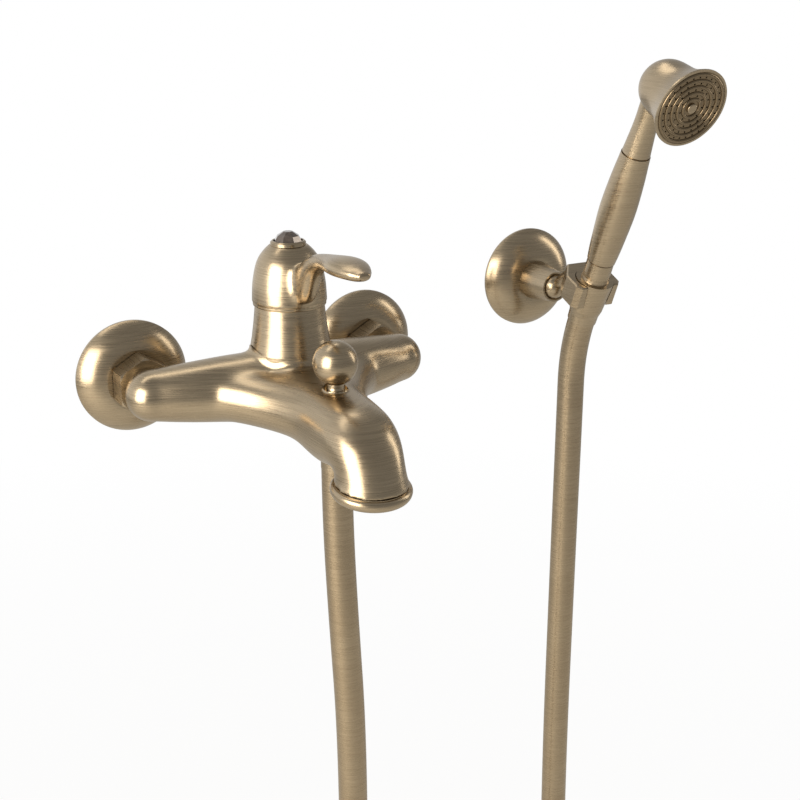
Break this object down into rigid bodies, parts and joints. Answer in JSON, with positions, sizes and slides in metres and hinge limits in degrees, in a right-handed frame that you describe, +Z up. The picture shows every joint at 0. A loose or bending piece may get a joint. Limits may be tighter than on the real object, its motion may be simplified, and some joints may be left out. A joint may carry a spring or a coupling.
{
  "type": "bath shower mixer",
  "caption": "Wall-mounted bath mixer with single lever, pull-up diverter, hose and hand shower on a swivel wall holder, brushed antique bronze",
  "frame": {"origin": "midway between the two water inlets, on the wall plane", "axes": "+Z up, +X right along the wall as seen from the room, -Y out of the wall"},
  "size_m": [0.3381, 0.1928, 0.7628],
  "materials": {
    "bronze": "finely brushed antique bronze, satin",
    "spray_bronze": "turned antique bronze, satin",
    "brass": "machined",
    "steel": "brushed",
    "crystal": "cut and polished",
    "ceramic": "lapped ceramic",
    "nylon": "moulded",
    "rubber": "matte",
    "hose_metal": "wound metal hose, satin antique bronze"
  },
  "bodies": {
    "mixer": {"mixer_body": "bronze", "column": "bronze", "cartridge_gasket": "rubber", "cartridge_housing": "nylon", "fixed_disc": "ceramic", "clamp_nut": "brass", "diverter_bush": "brass", "hose_nipple": "brass", "hose_ferrule": "bronze", "outlet_ring": "bronze", "aerator_body": "nylon", "aerator_screen": "steel", "left_wall_union": "brass", "left_flange": "bronze", "left_inlet_washer": "rubber", "left_union_nut": "bronze", "right_wall_union": "brass", "right_flange": "bronze", "right_inlet_washer": "rubber", "right_union_nut": "bronze", "holder_bracket": "steel", "holder_flange": "bronze", "holder_collar": "bronze", "ball_seat": "nylon", "shower_hose": "hose_metal"},
    "lever_turn": {"cartridge_guide": "nylon", "pivot_pin": "steel"},
    "lever": {"lever_stem": "brass", "lever_cap": "bronze", "finial_bezel": "bronze", "crystal_finial": "crystal"},
    "disc": {"moving_disc": "ceramic"},
    "diverter": {"diverter_knob": "bronze", "diverter_rod": "brass", "diverter_washer": "rubber"},
    "holder_pivot": {"holder_ball": "bronze"},
    "fork": {"holder_fork": "bronze"},
    "hose_end": {"hose_cone": "bronze", "cone_washer": "rubber"},
    "handset": {"handset_ferrule": "bronze", "handset_grip": "bronze", "handset_neck": "bronze", "handset_tube": "nylon", "handset_head": "bronze", "spray_plate": "spray_bronze", "head_seal": "rubber", "spray_button": "bronze"}
  },
  "joints": [
    {"name": "lever_swivel", "type": "hinge", "parent": "mixer", "child": "lever_turn", "pos_m": [0, -0.0596, 0.04], "axis": [0, 0, 1], "range_deg": [-45, 45]},
    {"name": "lever_lift", "type": "hinge", "parent": "lever_turn", "child": "lever", "pos_m": [0, -0.0596, 0.04], "axis": [-1, 0, 0], "range_deg": [0, 20]},
    {"name": "disc_slide", "type": "slide", "parent": "lever_turn", "child": "disc", "axis": [0, -1, 0], "range_m": [0, 0.00349]},
    {"name": "diverter_pull", "type": "slide", "parent": "mixer", "child": "diverter", "axis": [0, 0, 1], "range_m": [0, 0.009]},
    {"name": "holder_swing", "type": "hinge", "parent": "mixer", "child": "holder_pivot", "pos_m": [0.19815, -0.0325, 0.028], "axis": [0, 0, 1], "range_deg": [-15, 15], "deforming": ["shower_hose"]},
    {"name": "holder_tilt", "type": "hinge", "parent": "holder_pivot", "child": "fork", "pos_m": [0.19815, -0.0325, 0.028], "axis": [1, 0, 0], "range_deg": [-8, 8], "deforming": ["shower_hose"]},
    {"name": "handset_lift", "type": "slide", "parent": "fork", "child": "hose_end", "axis": [0, -0.3853, 0.9228], "range_m": [0, 0.045], "deforming": ["shower_hose"]},
    {"name": "handset_turn", "type": "hinge", "parent": "hose_end", "child": "handset", "pos_m": [0.19815, -0.0814, 0.0544], "axis": [0, -0.3853, 0.9228], "continuous": true}
  ],
  "couplings": [
    {"joint": "disc_slide", "follows": "lever_lift", "m_per_rad": 0.01}
  ]
}
